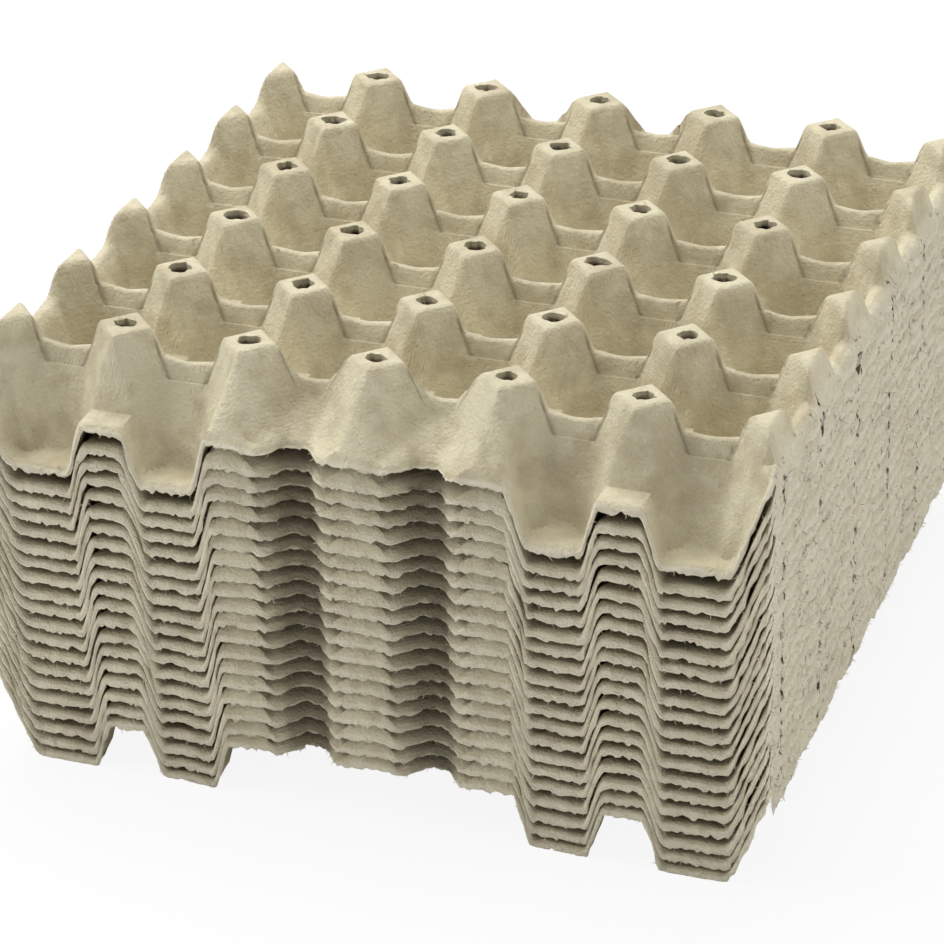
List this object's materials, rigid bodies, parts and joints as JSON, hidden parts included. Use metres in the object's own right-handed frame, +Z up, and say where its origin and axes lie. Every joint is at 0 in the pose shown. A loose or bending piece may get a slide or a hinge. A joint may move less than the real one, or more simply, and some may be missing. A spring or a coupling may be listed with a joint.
{
  "type": "stack of pulp egg trays",
  "caption": "Nested stack of moulded pulp egg trays, each a square sheet of egg cups between hollow posts, with thin ribs, open front and back cups and sloping side skirts.",
  "frame": {"origin": "centre of the footprint, on the surface that the stack stands on", "axes": "+X along the front edge to the right, +Y to the back, +Z up through the stack"},
  "size_m": [0.2956, 0.294, 0.1726],
  "materials": {
    "moulded_pulp": "rough, fibrous"
  },
  "bodies": {
    "root": {"tray_01": "moulded_pulp", "tray_02": "moulded_pulp", "tray_03": "moulded_pulp", "tray_04": "moulded_pulp", "tray_05": "moulded_pulp", "tray_06": "moulded_pulp", "tray_07": "moulded_pulp", "tray_08": "moulded_pulp", "tray_09": "moulded_pulp", "tray_10": "moulded_pulp", "tray_11": "moulded_pulp", "tray_12": "moulded_pulp", "tray_13": "moulded_pulp", "tray_14": "moulded_pulp", "tray_15": "moulded_pulp", "tray_16": "moulded_pulp", "tray_17": "moulded_pulp", "tray_18": "moulded_pulp", "tray_19": "moulded_pulp", "tray_20": "moulded_pulp"}
  },
  "joints": []
}
